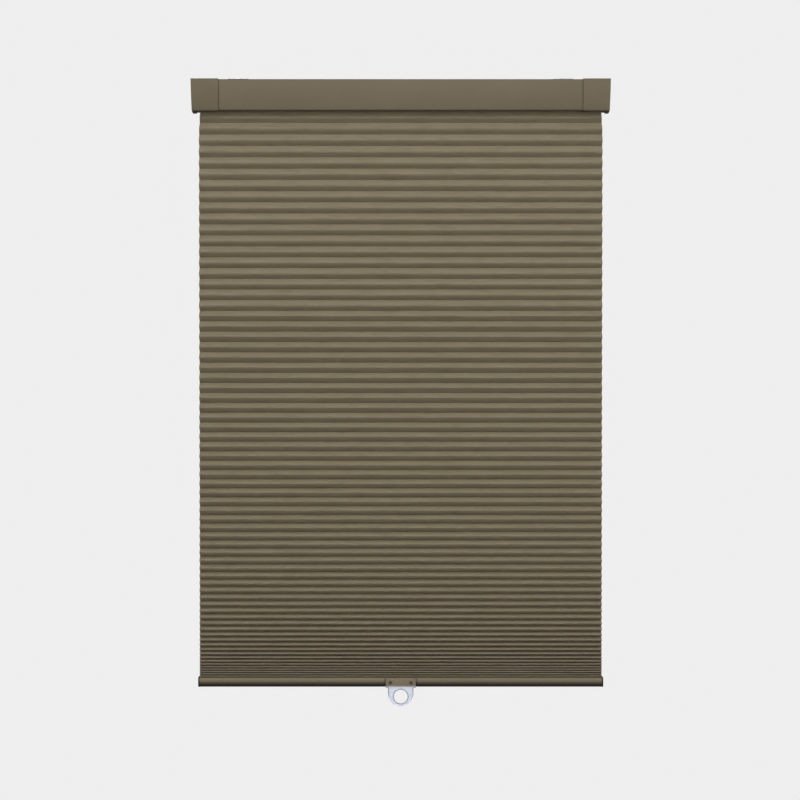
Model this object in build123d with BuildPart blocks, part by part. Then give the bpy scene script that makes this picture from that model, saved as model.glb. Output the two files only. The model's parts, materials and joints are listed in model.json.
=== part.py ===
from build123d import *
import os
from math import asin, cos, pi, radians, sin, sqrt, tan

# A cordless cellular blind, fully lowered, in millimetres.
# X runs along the blind, -Y faces the room and +Z is up. The origin is at the middle of the four
# bracket screw holes, on the window head that the brackets are screwed to.

# ---------------------------------------------------------------------------------------------
# Driving dimensions
# ---------------------------------------------------------------------------------------------

blind_width = 530.0  # over the headrail's end caps
cord_inset = 115.0  # each lift cord, in from the blind's end
bracket_inset = 60.0  # each mounting bracket, in from the blind's end

# headrail extrusion
rail_headroom = 2.12  # between the spring motor's cover and the top lips
rail_bulge = 2.6  # how far the front bows out between its edges
rail_wall = 1.1
rail_edge_radius = 1.0
rail_lip = 4.5  # top lips that the brackets hook under
slot_half = 7.6  # half the slot that the cloth hangs through
channel_side_clearance = 1.4  # beside the cloth's first cell
channel_clearance = 0.5  # above it

# brackets
bracket_thickness = 1.2
bracket_width = 25.0
bracket_screw_radius = 2.25
bracket_screw_y = 10.0
bracket_overlap = 3.5  # how far the plate reaches over each lip
bracket_hook = 2.6  # how far each hook reaches under its lip
hook_clearance = 0.15
bend_radius = 0.4

# headrail end caps
cap_width = 35.0
cap_skin = 0.9
cap_rim_radius = 0.6  # round of the rim where the cap meets the headrail
cap_fit = 0.1
cap_end_wall = 3.0
cap_end_clearance = 0.3
cap_slant = 1.5  # the outer end leans in by this much at the bottom
cap_foot_width = 6.0
cap_foot_drop = 2.2
cap_foot_depth = 14.0
cap_foot_chamfer = 1.2
cap_rib_length = 12.0
cap_rib_thickness = 1.6

# honeycomb cloth
cloth_inset = 11.5  # the cloth ends this far in from the blind's end
cell_count = 68
facet_length = 10.4  # each of a cell's four sloping walls
glue_width = 4.0
cloth_wall = 0.3
open_pitch = 14.67  # the top cell, pulled open by the weight below it
closed_pitch = 2.93  # the last cells, which carry next to no weight
pitch_slope = 0.373  # the steady part of the closing up from top to foot
pitch_bend = 4.28  # how late the rest of it comes
pitch_fall = 0.916
head_cell_pitch = 8.0  # the cell inside the headrail's channel
foot_cell_pitch = 5.0  # the cell inside the bottom rail
glue_drop = 0.7  # the first glue line hangs this far under the headrail

# flat bars inside the first and last cell
insert_setback = 1.0  # each bar stops this far inside the cloth's cut end
head_insert_grip = 1.6  # over each lip of the headrail's slot
head_insert_thickness = 1.0
foot_insert_grip = 1.2  # under each lip of the bottom rail's slot
foot_insert_thickness = 0.8

# lift cords
cord_radius = 0.5
cloth_hole_radius = 1.1
insert_hole_radius = 1.5
knot_radius = 1.4
button_radius = 3.5
button_thickness = 2.2
button_hole_radius = 0.75
button_clearance = 0.1

# lift spools
shaft_square = 4.0
shaft_fit = 0.05
shaft_overhang = 3.0
barrel_radius = 8.0
barrel_length = 18.0
barrel_start = 5.0  # the barrel begins this far inboard of the hanging cord
flange_rise = 1.35  # over the middle of the wound cord
flange_thickness = 1.2
journal_radius = 3.5
journal_fit = 0.05
cord_fit = 0.05
wound_turns = 3
spool_end_clearance = 0.3
spool_floor_clearance = 2.7

# lift cradles
cradle_wall = 1.8
cradle_floor = 1.5
cradle_front = -14.0
cradle_rise = 0.2  # the end walls' round tops stand this far proud of the flanges
guard_fit = 0.1
guard_thickness = 0.8
guard_clearance = 0.35  # to the headrail's back wall
snout_radius = 2.8
snout_hole_radius = 1.3
snout_fit = 0.2
tongue_fit = 0.1

# spring motor
band_width = 44.0  # the drums' barrels, between their flanges
drum_gap = 0.35  # half the gap between the two drums' flanges
gear_width = 5.0
gear_teeth = 20
gear_addendum = 0.85  # in modules
gear_dedendum = 1.2  # in modules
gear_thickness = 0.78  # of half the circular pitch, which leaves the backlash
gear_pressure_angle = 20.0
drum_start = -27.0
motor_wall = 2.0
motor_floor = 1.5
motor_clearance = 0.2  # to the headrail's front and back walls
gear_clearance = 0.2  # to the cover's front skirt
cover_headroom = 2.2  # over the gears
cover_thickness = 1.1
cover_skirt = 9.0
cover_clearance = 0.1
boss_radius = 3.2
boss_reach = 4.2
screw_radius = 1.2
screw_fit = 0.05
screw_head_radius = 2.5
screw_head_height = 1.3
screw_length = 9.0
spring_below_flange = 0.4
spring_build = 2.3  # the full coil's turns
spring_end_build = 0.45  # the one turn on the storage drum
spring_thickness = 0.3
spring_fit = 0.1
spring_side_clearance = 0.5

# bottom rail
foot_rail_height = 12.3
foot_rail_margin = 2.3  # inside the rail, before and behind the cloth's last cell
foot_rail_overhang = 0.5  # past each cut end of the cloth
foot_rail_wall = 1.1
foot_rail_above_glue = 0.4
foot_cap_thickness = 1.6
foot_cap_proud = 0.3
foot_cap_plug = 6.0
foot_cap_fit = 0.1
foot_cap_plug_clearance = 0.5  # under the cloth's last glue line

# handle
handle_plate_half = 19.0
handle_tab_half = 16.0
handle_below_top = 1.2  # the plate starts this far under the bottom rail's top
handle_face = 2.0  # its flat front stands this far before the bottom rail
handle_thickness = 3.0
handle_tab_straight = 8.1  # straight sides of the tab under the bottom rail
handle_ledge_depth = 9.0
handle_ledge_thickness = 2.0
handle_fit = 0.05
handle_edge = 0.6
finger_hole_radius = 8.7
finger_hole_below = 12.1  # from the bottom rail's underside
handle_screw_x = 13.0
handle_screw_below = 6.9  # from the bottom rail's top
handle_screw_radius = 1.4
handle_screw_head_radius = 2.1
handle_screw_head_height = 1.0
handle_screw_length = 5.0
handle_screw_fit = 0.1

# ---------------------------------------------------------------------------------------------
# Places that follow from them
# ---------------------------------------------------------------------------------------------

sides = {"left": -1, "right": 1}

cord_x = blind_width / 2 - cord_inset
bracket_x = blind_width / 2 - bracket_inset
cloth_width = blind_width - 2 * cloth_inset
insert_length = cloth_width - 2 * insert_setback
foot_rail_length = cloth_width + 2 * foot_rail_overhang
head_insert_width = 2 * (slot_half + head_insert_grip)
foot_insert_width = 2 * (slot_half + foot_insert_grip)

# the cord hangs in the middle of the cloth, so the shaft lies one winding radius behind it
wind_radius = barrel_radius + cord_radius + cord_fit
shaft_y = wind_radius
storage_y = -wind_radius
spool_flange_radius = wind_radius + flange_rise
cradle_wall_radius = spool_flange_radius + cradle_rise
guard_inner = cradle_wall_radius + guard_fit
guard_outer = guard_inner + guard_thickness

gear_module = (shaft_y - storage_y) / gear_teeth
pitch_radius = gear_module * gear_teeth / 2
gear_tip = pitch_radius + gear_addendum * gear_module
gear_root = pitch_radius - gear_dedendum * gear_module

# the headrail is as deep as the motor's gears and the spools' guards need
motor_front = storage_y - gear_tip - gear_clearance - cover_thickness
rail_front = motor_front - motor_clearance - rail_wall
rail_back = shaft_y + guard_outer + guard_clearance + rail_wall
motor_back = rail_back - rail_wall - motor_clearance

# and as high as the cloth's channel, the spools, the gears and the motor's cover need
channel_height = head_cell_pitch - glue_drop + channel_clearance
motor_height = cradle_floor + spool_floor_clearance + spool_flange_radius + gear_tip
motor_height += cover_headroom + cover_thickness
rail_height = channel_height + rail_wall + motor_height + rail_headroom + rail_wall

rail_top = -bracket_thickness
rail_bottom = rail_top - rail_height
rail_middle = (rail_top + rail_bottom) / 2
rail_half = blind_width / 2 - cap_end_wall - cap_end_clearance
opening_front = rail_front + rail_wall + rail_lip
opening_back = rail_back - rail_wall - rail_lip


def cell_pitch(index):
    """Height of one visible cell: wide open at the top, closed at the foot."""
    share = (index + 0.5) / cell_count
    openness = 1 - pitch_slope * share - (1 - pitch_slope) * share**pitch_bend
    return max(closed_pitch, open_pitch * openness**pitch_fall)


def half_depth(pitch):
    """How far a cell's nose stands from the middle of the cloth."""
    return glue_width / 2 + sqrt(facet_length**2 - (pitch / 2) ** 2)


first_glue = rail_bottom - glue_drop
glue_lines = [first_glue + head_cell_pitch, first_glue]
for cell in range(cell_count):
    glue_lines.append(glue_lines[-1] - cell_pitch(cell))
last_glue = glue_lines[-1]
glue_lines.append(last_glue - foot_cell_pitch)
cloth_top = glue_lines[0]
cloth_bottom = glue_lines[-1]

channel_half = half_depth(head_cell_pitch) + channel_side_clearance
shelf_bottom = cloth_top + channel_clearance
shelf_top = shelf_bottom + rail_wall

shaft_z = shelf_top + cradle_floor + spool_floor_clearance + spool_flange_radius
bore_square = shaft_square + 2 * shaft_fit
bearing_radius = journal_radius + journal_fit
spool_length = barrel_length + 2 * flange_thickness
spool_x = cord_x - barrel_start + barrel_length / 2
cradle_half = spool_length / 2 + spool_end_clearance + cradle_wall
shaft_half = spool_x + cradle_half + shaft_overhang

drum_length = band_width + 2 * flange_thickness + gear_width
drum_end = drum_start + drum_length
motor_start = drum_start - spool_end_clearance - motor_wall
motor_end = drum_end + spool_end_clearance + motor_wall
drum_flange_radius = wind_radius - drum_gap
spring_coil_radius = drum_flange_radius - spring_below_flange
drum_radius = spring_coil_radius - spring_build
spring_end_radius = drum_radius + spring_end_build
cover_bottom = shaft_z + gear_tip + cover_headroom
motor_top = cover_bottom + cover_thickness
wall_top = cover_bottom - cover_clearance

foot_rail_half_depth = half_depth(foot_cell_pitch) + foot_rail_margin + foot_rail_wall
foot_rail_top = last_glue + foot_rail_above_glue
foot_rail_bottom = foot_rail_top - foot_rail_height
foot_rail_middle = (foot_rail_top + foot_rail_bottom) / 2

handle_front = -foot_rail_half_depth - handle_face
handle_top = foot_rail_top - handle_below_top
finger_hole_z = foot_rail_bottom - finger_hole_below
handle_screw_z = foot_rail_top - handle_screw_below

os.makedirs("parts", exist_ok=True)


def finish(piece, name):
    """Labels a finished piece and writes it."""
    piece.part.label = name
    export_step(piece.part, f"parts/{name}.step")


# ---------------------------------------------------------------------------------------------
# Headrail
# ---------------------------------------------------------------------------------------------


def rail_outline(grow=0.0):
    """The headrail's outer section, grown all round by a clearance or a skin."""
    with BuildSketch(Plane.YZ) as outline:
        with BuildLine():
            ThreePointArc(
                (rail_front, rail_bottom),
                (rail_front - rail_bulge, rail_middle),
                (rail_front, rail_top),
            )
            Polyline(
                (rail_front, rail_top),
                (rail_back, rail_top),
                (rail_back, rail_bottom),
                (rail_front, rail_bottom),
            )
        make_face()
        fillet(outline.vertices(), rail_edge_radius)
        if grow:
            offset(amount=grow)
    return outline.sketch_local


with BuildSketch(Plane.YZ) as rail_shelf:
    add(rail_outline())
    with Locations((0, (shelf_bottom + shelf_top) / 2)):
        Rectangle(4 * rail_back, rail_wall, mode=Mode.INTERSECT)

with BuildSketch(Plane.YZ) as rail_section:
    add(rail_outline())
    offset(amount=-rail_wall, mode=Mode.SUBTRACT)
    with Locations(((opening_front + opening_back) / 2, rail_top - rail_wall / 2)):
        Rectangle(opening_back - opening_front, 2 * rail_wall, mode=Mode.SUBTRACT)
    with Locations((0, rail_bottom + rail_wall / 2)):
        Rectangle(2 * slot_half, 2 * rail_wall, mode=Mode.SUBTRACT)
    add(rail_shelf.sketch_local)
    # two ribs keep the cloth's first cell in the middle of the channel
    rib_height = shelf_bottom - rail_bottom
    with Locations((0, rail_bottom + rib_height / 2)):
        with GridLocations(2 * channel_half + rail_wall, 0, 2, 1):
            Rectangle(rail_wall, rib_height)

with BuildPart() as headrail:
    extrude(rail_section.sketch, amount=rail_half, both=True)
    with Locations(Plane.XY.offset(shelf_top)):
        with GridLocations(2 * cord_x, 0, 2, 1):
            Hole(snout_radius + snout_fit, depth=rail_wall)
finish(headrail, "headrail")


def make_end_cap(side):
    """A moulded cap that wraps over one end of the headrail, open under the cloth's slot."""
    half = blind_width / 2
    inner_end = Plane.YZ.offset(side * (half - cap_width))
    grow = cap_fit + cap_skin
    height = rail_height + 2 * grow
    slant_normal = (side * height, 0, -cap_slant)
    slant = Plane((side * half, 0, rail_top + grow), (0, 1, 0), slant_normal)
    cloth_end = cloth_width / 2 + cap_fit + cap_skin
    notch_length = cloth_end - (half - cap_width)
    foot_z = rail_bottom - grow - cap_foot_drop / 2
    foot_x = side * (half - cap_slant - cap_foot_width / 2)
    rib_x = side * (half - cap_end_wall - cap_rib_length / 2)
    rib_top = rail_top - rail_wall - cap_fit
    rib_height = rib_top - shelf_top - cap_fit
    rib_span = rail_back - rail_front - 2 * (rail_wall + cap_fit) - cap_rib_thickness
    with BuildPart() as cap:
        with BuildSketch(inner_end):
            add(rail_outline(grow))
        extrude(amount=side * cap_width)
        rim = cap.edges().group_by(Axis.X)[0 if side > 0 else -1]
        fillet(rim, cap_rim_radius)
        with BuildSketch(inner_end):
            add(rail_outline(cap_fit))
        extrude(amount=side * (cap_width - cap_end_wall), mode=Mode.SUBTRACT)
        with Locations((side * (half - cap_width + notch_length / 2), 0, rail_bottom - grow / 2)):
            Box(notch_length, 2 * slot_half, 2 * grow, mode=Mode.SUBTRACT)
        # the two ribs that plug into the headrail's upper chamber
        with Locations((rib_x, (rail_front + rail_back) / 2, shelf_top + cap_fit + rib_height / 2)):
            with GridLocations(0, rib_span, 1, 2):
                Box(cap_rib_length, cap_rib_thickness, rib_height)
        split(bisect_by=slant, keep=Keep.BOTTOM)
        with Locations((foot_x, 0, foot_z)):
            Box(cap_foot_width, cap_foot_depth, cap_foot_drop)
        foot_edges = cap.edges().filter_by(Axis.Y).group_by(Axis.Z)[0]
        chamfer(foot_edges, cap_foot_chamfer)
    return cap


for side_name, side in sides.items():
    finish(make_end_cap(side), f"end_cap_{side_name}")

# ---------------------------------------------------------------------------------------------
# Mounting brackets: folded steel, hooked under both top lips
# ---------------------------------------------------------------------------------------------

plate_front = opening_front - bracket_overlap
plate_back = opening_back + bracket_overlap
hook_top = rail_top - rail_wall - hook_clearance
hook_bottom = hook_top - bracket_thickness


def make_bracket(side):
    """One bracket, with a hook for each lip of the headrail."""
    with BuildPart() as bracket:
        with BuildSketch(Plane.YZ.offset(side * bracket_x)) as section:
            with Locations(((plate_front + plate_back) / 2, rail_top + bracket_thickness / 2)):
                Rectangle(plate_back - plate_front, bracket_thickness)
            for lip_edge, inward in ((opening_front, 1), (opening_back, -1)):
                leg = lip_edge + inward * (bend_radius + hook_clearance + bracket_thickness / 2)
                tip = lip_edge - inward * bracket_hook
                heel = leg + inward * bracket_thickness / 2
                with Locations((leg, (rail_top + hook_bottom) / 2)):
                    Rectangle(bracket_thickness, rail_top - hook_bottom)
                with Locations(((tip + heel) / 2, (hook_top + hook_bottom) / 2)):
                    Rectangle(abs(heel - tip), bracket_thickness)
            fillet(section.vertices(), bend_radius)
        extrude(amount=bracket_width / 2, both=True)
        with Locations((side * bracket_x, 0, rail_top + bracket_thickness)):
            with GridLocations(0, 2 * bracket_screw_y, 1, 2):
                Hole(bracket_screw_radius, depth=bracket_thickness)
    return bracket


for side_name, side in sides.items():
    finish(make_bracket(side), f"bracket_{side_name}")

# ---------------------------------------------------------------------------------------------
# Honeycomb cloth and the flat bars that hold it
# ---------------------------------------------------------------------------------------------

front_edge = []
for upper, lower in zip(glue_lines, glue_lines[1:]):
    front_edge.append((-glue_width / 2, upper))
    front_edge.append((-half_depth(upper - lower), (upper + lower) / 2))
front_edge.append((-glue_width / 2, cloth_bottom))
back_edge = [(-y, z) for y, z in reversed(front_edge)]


def cell_hollow(upper, lower):
    """Corners of the space inside one cell, a wall's thickness inside its outline."""
    pitch = upper - lower
    slope = asin(pitch / 2 / facet_length)
    strip = glue_width / 2 - cloth_wall * tan(slope / 2)
    nose = half_depth(pitch) - cloth_wall / sin(slope)
    middle = (upper + lower) / 2
    left = [(-strip, upper - cloth_wall), (-nose, middle), (-strip, lower + cloth_wall)]
    return left + [(-y, z) for y, z in reversed(left)]


with BuildSketch(Plane.YZ) as cloth_section:
    with BuildLine():
        Polyline(*front_edge, *back_edge, close=True)
    make_face()
    for upper, lower in zip(glue_lines, glue_lines[1:]):
        Polygon(*cell_hollow(upper, lower), align=None, mode=Mode.SUBTRACT)

with BuildPart() as cell_cloth:
    extrude(cloth_section.sketch, amount=cloth_width / 2, both=True)
    with Locations((0, 0, (cloth_top + cloth_bottom) / 2)):
        with GridLocations(2 * cord_x, 0, 2, 1):
            Cylinder(cloth_hole_radius, 2 * (cloth_top - cloth_bottom), mode=Mode.SUBTRACT)
finish(cell_cloth, "cell_cloth")


def make_insert(middle, width, thickness):
    """A flat bar inside one cell, with a hole for each lift cord."""
    with BuildPart() as insert:
        with Locations((0, 0, middle)):
            Box(insert_length, width, thickness)
        fillet(insert.edges().filter_by(Axis.Z), width / 8)
        with Locations((0, 0, middle + thickness / 2)):
            with GridLocations(2 * cord_x, 0, 2, 1):
                Hole(insert_hole_radius, depth=thickness)
    return insert


head_insert = make_insert(
    first_glue + head_cell_pitch / 2, head_insert_width, head_insert_thickness
)
finish(head_insert, "top_insert")
foot_insert = make_insert(
    last_glue - foot_cell_pitch / 2, foot_insert_width, foot_insert_thickness
)
finish(foot_insert, "bottom_insert")

# ---------------------------------------------------------------------------------------------
# Lift cords: straight down from the spools, through every glue line, to a knot under a button
# ---------------------------------------------------------------------------------------------

button_top = cloth_bottom - button_clearance
button_bottom = button_top - button_thickness
knot_z = button_bottom - knot_radius - button_clearance

for side_name, side in sides.items():
    with BuildPart() as lift_cord:
        with Locations((side * cord_x, 0, (shaft_z + knot_z) / 2)):
            Cylinder(cord_radius, shaft_z - knot_z)
        with Locations((side * cord_x, 0, knot_z)):
            Sphere(knot_radius)
    finish(lift_cord, f"lift_cord_{side_name}")

    with BuildPart() as cord_button:
        with Locations((side * cord_x, 0, (button_top + button_bottom) / 2)):
            Cylinder(button_radius, button_thickness)
        fillet(cord_button.edges().filter_by(GeomType.CIRCLE), button_thickness / 4)
        with Locations((side * cord_x, 0, button_top)):
            Hole(button_hole_radius, depth=button_thickness)
    finish(cord_button, f"cord_button_{side_name}")

# ---------------------------------------------------------------------------------------------
# Drive shaft, lift spools and the turns of cord left on them
# ---------------------------------------------------------------------------------------------

with BuildPart() as drive_shaft:
    with Locations((0, shaft_y, shaft_z)):
        Box(2 * shaft_half, shaft_square, shaft_square)
    chamfer(drive_shaft.edges().filter_by(Axis.X, reverse=True), shaft_square / 10)
finish(drive_shaft, "drive_shaft")


def turned(radii_and_ends, axis_y):
    """Coaxial discs along X, each given as its radius and its two ends."""
    for radius, start, end in radii_and_ends:
        low, high = min(start, end), max(start, end)
        with BuildSketch(Plane.YZ.offset(low)) as disc:
            with Locations((axis_y, shaft_z)):
                Circle(radius)
        extrude(disc.sketch, amount=high - low)


def square_bore(start, length):
    """The square hole that the drive shaft passes through."""
    with BuildSketch(Plane.YZ.offset(start)) as bore:
        with Locations((shaft_y, shaft_z)):
            Rectangle(bore_square, bore_square)
    extrude(bore.sketch, amount=length, mode=Mode.SUBTRACT)


for side_name, side in sides.items():
    barrel_low = side * spool_x - barrel_length / 2
    barrel_high = side * spool_x + barrel_length / 2
    journal_low = side * spool_x - cradle_half
    journal_high = side * spool_x + cradle_half
    with BuildPart() as lift_spool:
        turned(
            [
                (journal_radius, journal_low, journal_high),
                (barrel_radius, barrel_low, barrel_high),
                (spool_flange_radius, barrel_low - flange_thickness, barrel_low),
                (spool_flange_radius, barrel_high, barrel_high + flange_thickness),
            ],
            shaft_y,
        )
        square_bore(journal_low, 2 * cradle_half)
    finish(lift_spool, f"lift_spool_{side_name}")

    # the turns lie side by side, inboard of the hanging cord
    with BuildPart() as wound_cord:
        with BuildSketch(Plane.XY.offset(shaft_z)):
            for turn in range(1, wound_turns + 1):
                turn_x = side * (cord_x - turn * 2 * cord_radius - cord_fit)
                with Locations((turn_x, shaft_y - wind_radius)):
                    Circle(cord_radius)
            bind_x = side * (cord_x - cord_fit - (wound_turns + 1) * cord_radius)
            with Locations((bind_x, shaft_y - wind_radius)):
                Rectangle((wound_turns - 1) * 2 * cord_radius, cord_radius)
        revolve(axis=Axis((0, shaft_y, shaft_z), (1, 0, 0)))
    finish(wound_cord, f"wound_cord_{side_name}")

# ---------------------------------------------------------------------------------------------
# Lift cradles: each carries one spool on the shelf and guides its cord down through a snout
# ---------------------------------------------------------------------------------------------

cradle_back = shaft_y + cradle_wall_radius
tongue_half = bearing_radius - tongue_fit


def bearing_wall(start, thickness):
    """An end wall with a round top and an open-topped bearing slot."""
    height = shaft_z - shelf_top
    with BuildSketch(Plane.YZ.offset(start)) as wall:
        with Locations((shaft_y, shelf_top + height / 2)):
            Rectangle(2 * cradle_wall_radius, height)
        with Locations((shaft_y, shaft_z)):
            Circle(cradle_wall_radius)
            Circle(bearing_radius, mode=Mode.SUBTRACT)
        with Locations((shaft_y, shaft_z + cradle_wall_radius)):
            Rectangle(2 * bearing_radius, 2 * cradle_wall_radius, mode=Mode.SUBTRACT)
    extrude(wall.sketch, amount=thickness)


for side_name, side in sides.items():
    centre = side * spool_x
    low_wall = centre - cradle_half
    high_wall = centre + cradle_half - cradle_wall
    floor_middle = (cradle_front + cradle_back) / 2
    with BuildPart() as lift_cradle:
        with Locations((centre, floor_middle, shelf_top + cradle_floor / 2)):
            Box(2 * cradle_half, cradle_back - cradle_front, cradle_floor)
        bearing_wall(low_wall, cradle_wall)
        bearing_wall(high_wall, cradle_wall)
        with BuildSketch(Plane.XY.offset(shelf_bottom)):
            with Locations((side * cord_x, 0)):
                Circle(snout_radius)
        extrude(amount=rail_wall)
        with Locations((side * cord_x, 0, shelf_top + cradle_floor)):
            Hole(snout_hole_radius, depth=cradle_floor + rail_wall)
    finish(lift_cradle, f"lift_cradle_{side_name}")

    with BuildPart() as cradle_cap:
        with BuildSketch(Plane.YZ.offset(low_wall)):
            with Locations((shaft_y, shaft_z)):
                Circle(guard_outer)
                Circle(guard_inner, mode=Mode.SUBTRACT)
            with Locations((shaft_y, shaft_z - guard_outer)):
                Rectangle(2 * guard_outer, 2 * guard_outer, mode=Mode.SUBTRACT)
        extrude(amount=2 * cradle_half)
        # a tongue closes each bearing slot down to the journal
        tongue_foot = shaft_z + bearing_radius + journal_fit
        tongue_head = shaft_z + guard_inner + guard_thickness / 2
        for start in (low_wall, high_wall):
            with BuildSketch(Plane.YZ.offset(start)):
                with Locations((shaft_y, (tongue_foot + tongue_head) / 2)):
                    Rectangle(2 * tongue_half, tongue_head - tongue_foot)
            extrude(amount=cradle_wall)
    finish(cradle_cap, f"lift_cradle_cap_{side_name}")

# ---------------------------------------------------------------------------------------------
# Spring motor: two geared drums and the steel band between them
# ---------------------------------------------------------------------------------------------

pitch_half_tooth = gear_thickness * pi * gear_module / 4
tip_half_tooth = pitch_half_tooth - (gear_tip - pitch_radius) * tan(radians(gear_pressure_angle))
root_half_tooth = pitch_half_tooth + (pitch_radius - gear_root) * tan(radians(gear_pressure_angle))
tooth_sink = gear_module / 2  # each tooth starts this far inside the root circle


def toothed_ring(start, axis_y, first_angle):
    """A gear's teeth on its root circle; the first tooth points at the given angle."""
    tooth = [
        (gear_root - tooth_sink, -root_half_tooth),
        (gear_root, -root_half_tooth),
        (gear_tip, -tip_half_tooth),
        (gear_tip, tip_half_tooth),
        (gear_root, root_half_tooth),
        (gear_root - tooth_sink, root_half_tooth),
    ]
    with BuildSketch(Plane.YZ.offset(start)) as teeth:
        with Locations((axis_y, shaft_z)):
            Circle(gear_root)
            with PolarLocations(0, gear_teeth, first_angle):
                Polygon(*tooth, align=None)
    extrude(teeth.sketch, amount=gear_width)


def make_drum(axis_y, first_angle, bored):
    """A drum between two flanges, moulded in one with its gear and its journals."""
    band_start = drum_start + flange_thickness
    band_end = band_start + band_width
    gear_start = band_end + flange_thickness
    with BuildPart() as drum:
        turned(
            [
                (journal_radius, motor_start, motor_end),
                (drum_flange_radius, drum_start, band_start),
                (drum_radius, band_start, band_end),
                (drum_flange_radius, band_end, gear_start),
            ],
            axis_y,
        )
        toothed_ring(gear_start, axis_y, first_angle)
        if bored:
            square_bore(motor_start, motor_end - motor_start)
    return drum


# the storage drum has a tooth, and the output drum a gap, on the line between their axes
finish(make_drum(shaft_y, 180.0 / gear_teeth, True), "output_drum")
finish(make_drum(storage_y, 0.0, False), "storage_drum")

# the band leaves the output drum's underside and goes over the storage drum's top
band_lean = asin((spring_coil_radius + spring_end_radius) / (shaft_y - storage_y))
lean_y = sin(band_lean)
lean_z = cos(band_lean)
coil_edge = spring_coil_radius - spring_thickness
end_edge = spring_end_radius - spring_thickness
spring_inner = drum_radius + spring_fit
with BuildPart() as motor_spring:
    with BuildSketch(Plane.YZ.offset(drum_start + flange_thickness + spring_side_clearance)):
        with Locations((shaft_y, shaft_z)):
            Circle(spring_coil_radius)
            Circle(spring_inner, mode=Mode.SUBTRACT)
        with Locations((storage_y, shaft_z)):
            Circle(spring_end_radius)
            Circle(spring_inner, mode=Mode.SUBTRACT)
        Polygon(
            (shaft_y - spring_coil_radius * lean_y, shaft_z - spring_coil_radius * lean_z),
            (shaft_y - coil_edge * lean_y, shaft_z - coil_edge * lean_z),
            (storage_y + spring_end_radius * lean_y, shaft_z + spring_end_radius * lean_z),
            (storage_y + end_edge * lean_y, shaft_z + end_edge * lean_z),
            align=None,
        )
    extrude(amount=band_width - 2 * spring_side_clearance)
finish(motor_spring, "motor_spring")

motor_depth = motor_back - motor_front
motor_middle_y = (motor_front + motor_back) / 2
boss_x = [motor_start - boss_reach, motor_end + boss_reach]
floor_start = boss_x[0] - boss_radius
floor_end = boss_x[1] + boss_radius
motor_length = floor_end - floor_start
motor_middle_x = (floor_start + floor_end) / 2
wall_height = wall_top - shelf_top

with BuildPart() as motor_base:
    with Locations((motor_middle_x, motor_middle_y, shelf_top + motor_floor / 2)):
        Box(motor_length, motor_depth, motor_floor)
    for start in (motor_start, motor_end - motor_wall):
        with BuildSketch(Plane.YZ.offset(start)):
            with Locations((motor_middle_y, shelf_top + wall_height / 2)):
                Rectangle(motor_depth - 2 * (cover_thickness + cover_clearance), wall_height)
            with Locations((shaft_y, shaft_z), (storage_y, shaft_z)):
                Circle(bearing_radius, mode=Mode.SUBTRACT)
            slot_height = wall_top - shaft_z
            slot_z = shaft_z + slot_height / 2
            with Locations((shaft_y, slot_z), (storage_y, slot_z)):
                Rectangle(2 * bearing_radius, slot_height, mode=Mode.SUBTRACT)
        extrude(amount=motor_wall)
    with BuildSketch(Plane.XY.offset(shelf_top)):
        with Locations((boss_x[0], storage_y), (boss_x[1], storage_y)):
            Circle(boss_radius)
    extrude(amount=wall_height)
    with Locations((boss_x[0], storage_y, wall_top), (boss_x[1], storage_y, wall_top)):
        Hole(screw_radius + screw_fit, depth=screw_length)
finish(motor_base, "motor_base")

with BuildPart() as motor_cover:
    with Locations((motor_middle_x, motor_middle_y, motor_top - cover_thickness / 2)):
        Box(motor_length, motor_depth, cover_thickness)
    with Locations((motor_middle_x, motor_middle_y, motor_top - cover_skirt / 2)):
        with GridLocations(0, motor_depth - cover_thickness, 1, 2):
            Box(motor_end - motor_start, cover_thickness, cover_skirt)
    # tongues close the bearing slots down to the journals
    tongue_foot = shaft_z + bearing_radius + journal_fit
    for start in (motor_start, motor_end - motor_wall):
        with BuildSketch(Plane.YZ.offset(start)):
            tongue_z = (tongue_foot + motor_top - cover_thickness / 2) / 2
            tongue_height = motor_top - cover_thickness / 2 - tongue_foot
            with Locations((shaft_y, tongue_z), (storage_y, tongue_z)):
                Rectangle(2 * tongue_half, tongue_height)
        extrude(amount=motor_wall)
    with Locations((boss_x[0], storage_y, motor_top), (boss_x[1], storage_y, motor_top)):
        Hole(screw_radius + screw_fit, depth=cover_thickness)
    fillet(motor_cover.edges().filter_by(Axis.Z).group_by(Axis.X)[0], cover_thickness)
    fillet(motor_cover.edges().filter_by(Axis.Z).group_by(Axis.X)[-1], cover_thickness)
finish(motor_cover, "motor_cover")

with BuildPart() as motor_screws:
    for x in boss_x:
        with Locations((x, storage_y, motor_top + screw_head_height / 2)):
            Cylinder(screw_head_radius, screw_head_height)
        with Locations((x, storage_y, motor_top - screw_length / 2)):
            Cylinder(screw_radius, screw_length)
        with Locations((x, storage_y, motor_top + screw_head_height)):
            Box(screw_head_radius * 1.2, screw_radius / 2, screw_head_height, mode=Mode.SUBTRACT)
            Box(screw_radius / 2, screw_head_radius * 1.2, screw_head_height, mode=Mode.SUBTRACT)
finish(motor_screws, "motor_screws")

# ---------------------------------------------------------------------------------------------
# Bottom rail, its end caps and the handle
# ---------------------------------------------------------------------------------------------


def foot_rail_outline(grow=0.0):
    """The bottom rail's outer section: flat above and below, fully rounded at front and back."""
    with BuildSketch(Plane.YZ) as outline:
        with Locations((0, foot_rail_middle)):
            SlotOverall(2 * (foot_rail_half_depth + grow), foot_rail_height + 2 * grow)
    return outline.sketch_local


with BuildSketch(Plane.YZ) as foot_rail_section:
    add(foot_rail_outline())
    add(foot_rail_outline(-foot_rail_wall), mode=Mode.SUBTRACT)
    with Locations((0, foot_rail_top - foot_rail_wall / 2)):
        Rectangle(2 * slot_half, 2 * foot_rail_wall, mode=Mode.SUBTRACT)

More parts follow.
